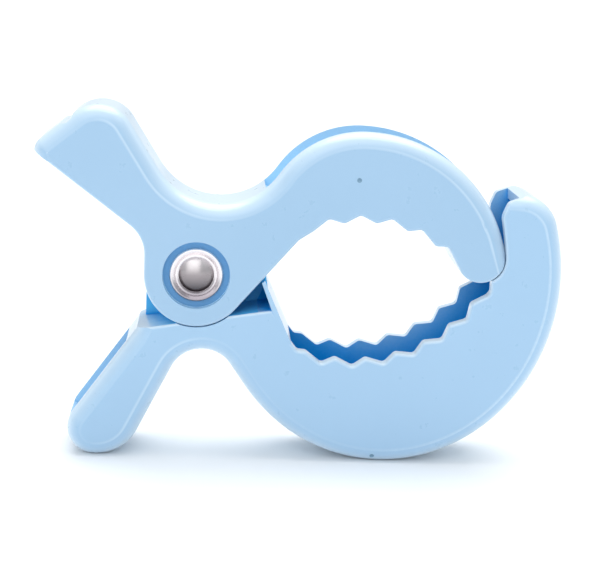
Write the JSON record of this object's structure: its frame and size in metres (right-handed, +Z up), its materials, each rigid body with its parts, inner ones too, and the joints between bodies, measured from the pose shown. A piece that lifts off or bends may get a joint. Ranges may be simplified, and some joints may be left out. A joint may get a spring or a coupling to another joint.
{
  "type": "clothespin",
  "caption": "Sprung plastic clip: two toothed curved jaws on one rivet, pressed open by two handles and closed by a torsion spring, to hold cloth on a bar.",
  "frame": {"origin": "on the ground, under the middle of the bounding box", "axes": "+X from the handles to the jaws, +Z up, the pictured side faces -Y; Y runs along the rivet"},
  "size_m": [0.1022, 0.018, 0.0684],
  "materials": {
    "plastic": "gloss",
    "rivet_metal": "polished",
    "spring_steel": "satin"
  },
  "bodies": {
    "lower_body": {"lower_arm": "plastic", "torsion_spring": "spring_steel"},
    "upper_body": {"upper_arm": "plastic", "pivot_rivet": "rivet_metal", "front_washer": "rivet_metal", "rear_washer": "rivet_metal"}
  },
  "joints": [
    {"name": "jaw_hinge", "type": "hinge", "parent": "lower_body", "child": "upper_body", "pos_m": [-0.01991, 0, 0.0366], "axis": [0, -1, 0], "range_deg": [0, 78], "stiffness_Nm_per_rad": 0.25, "springref_deg": -68.75, "deforming": ["torsion_spring"]}
  ]
}
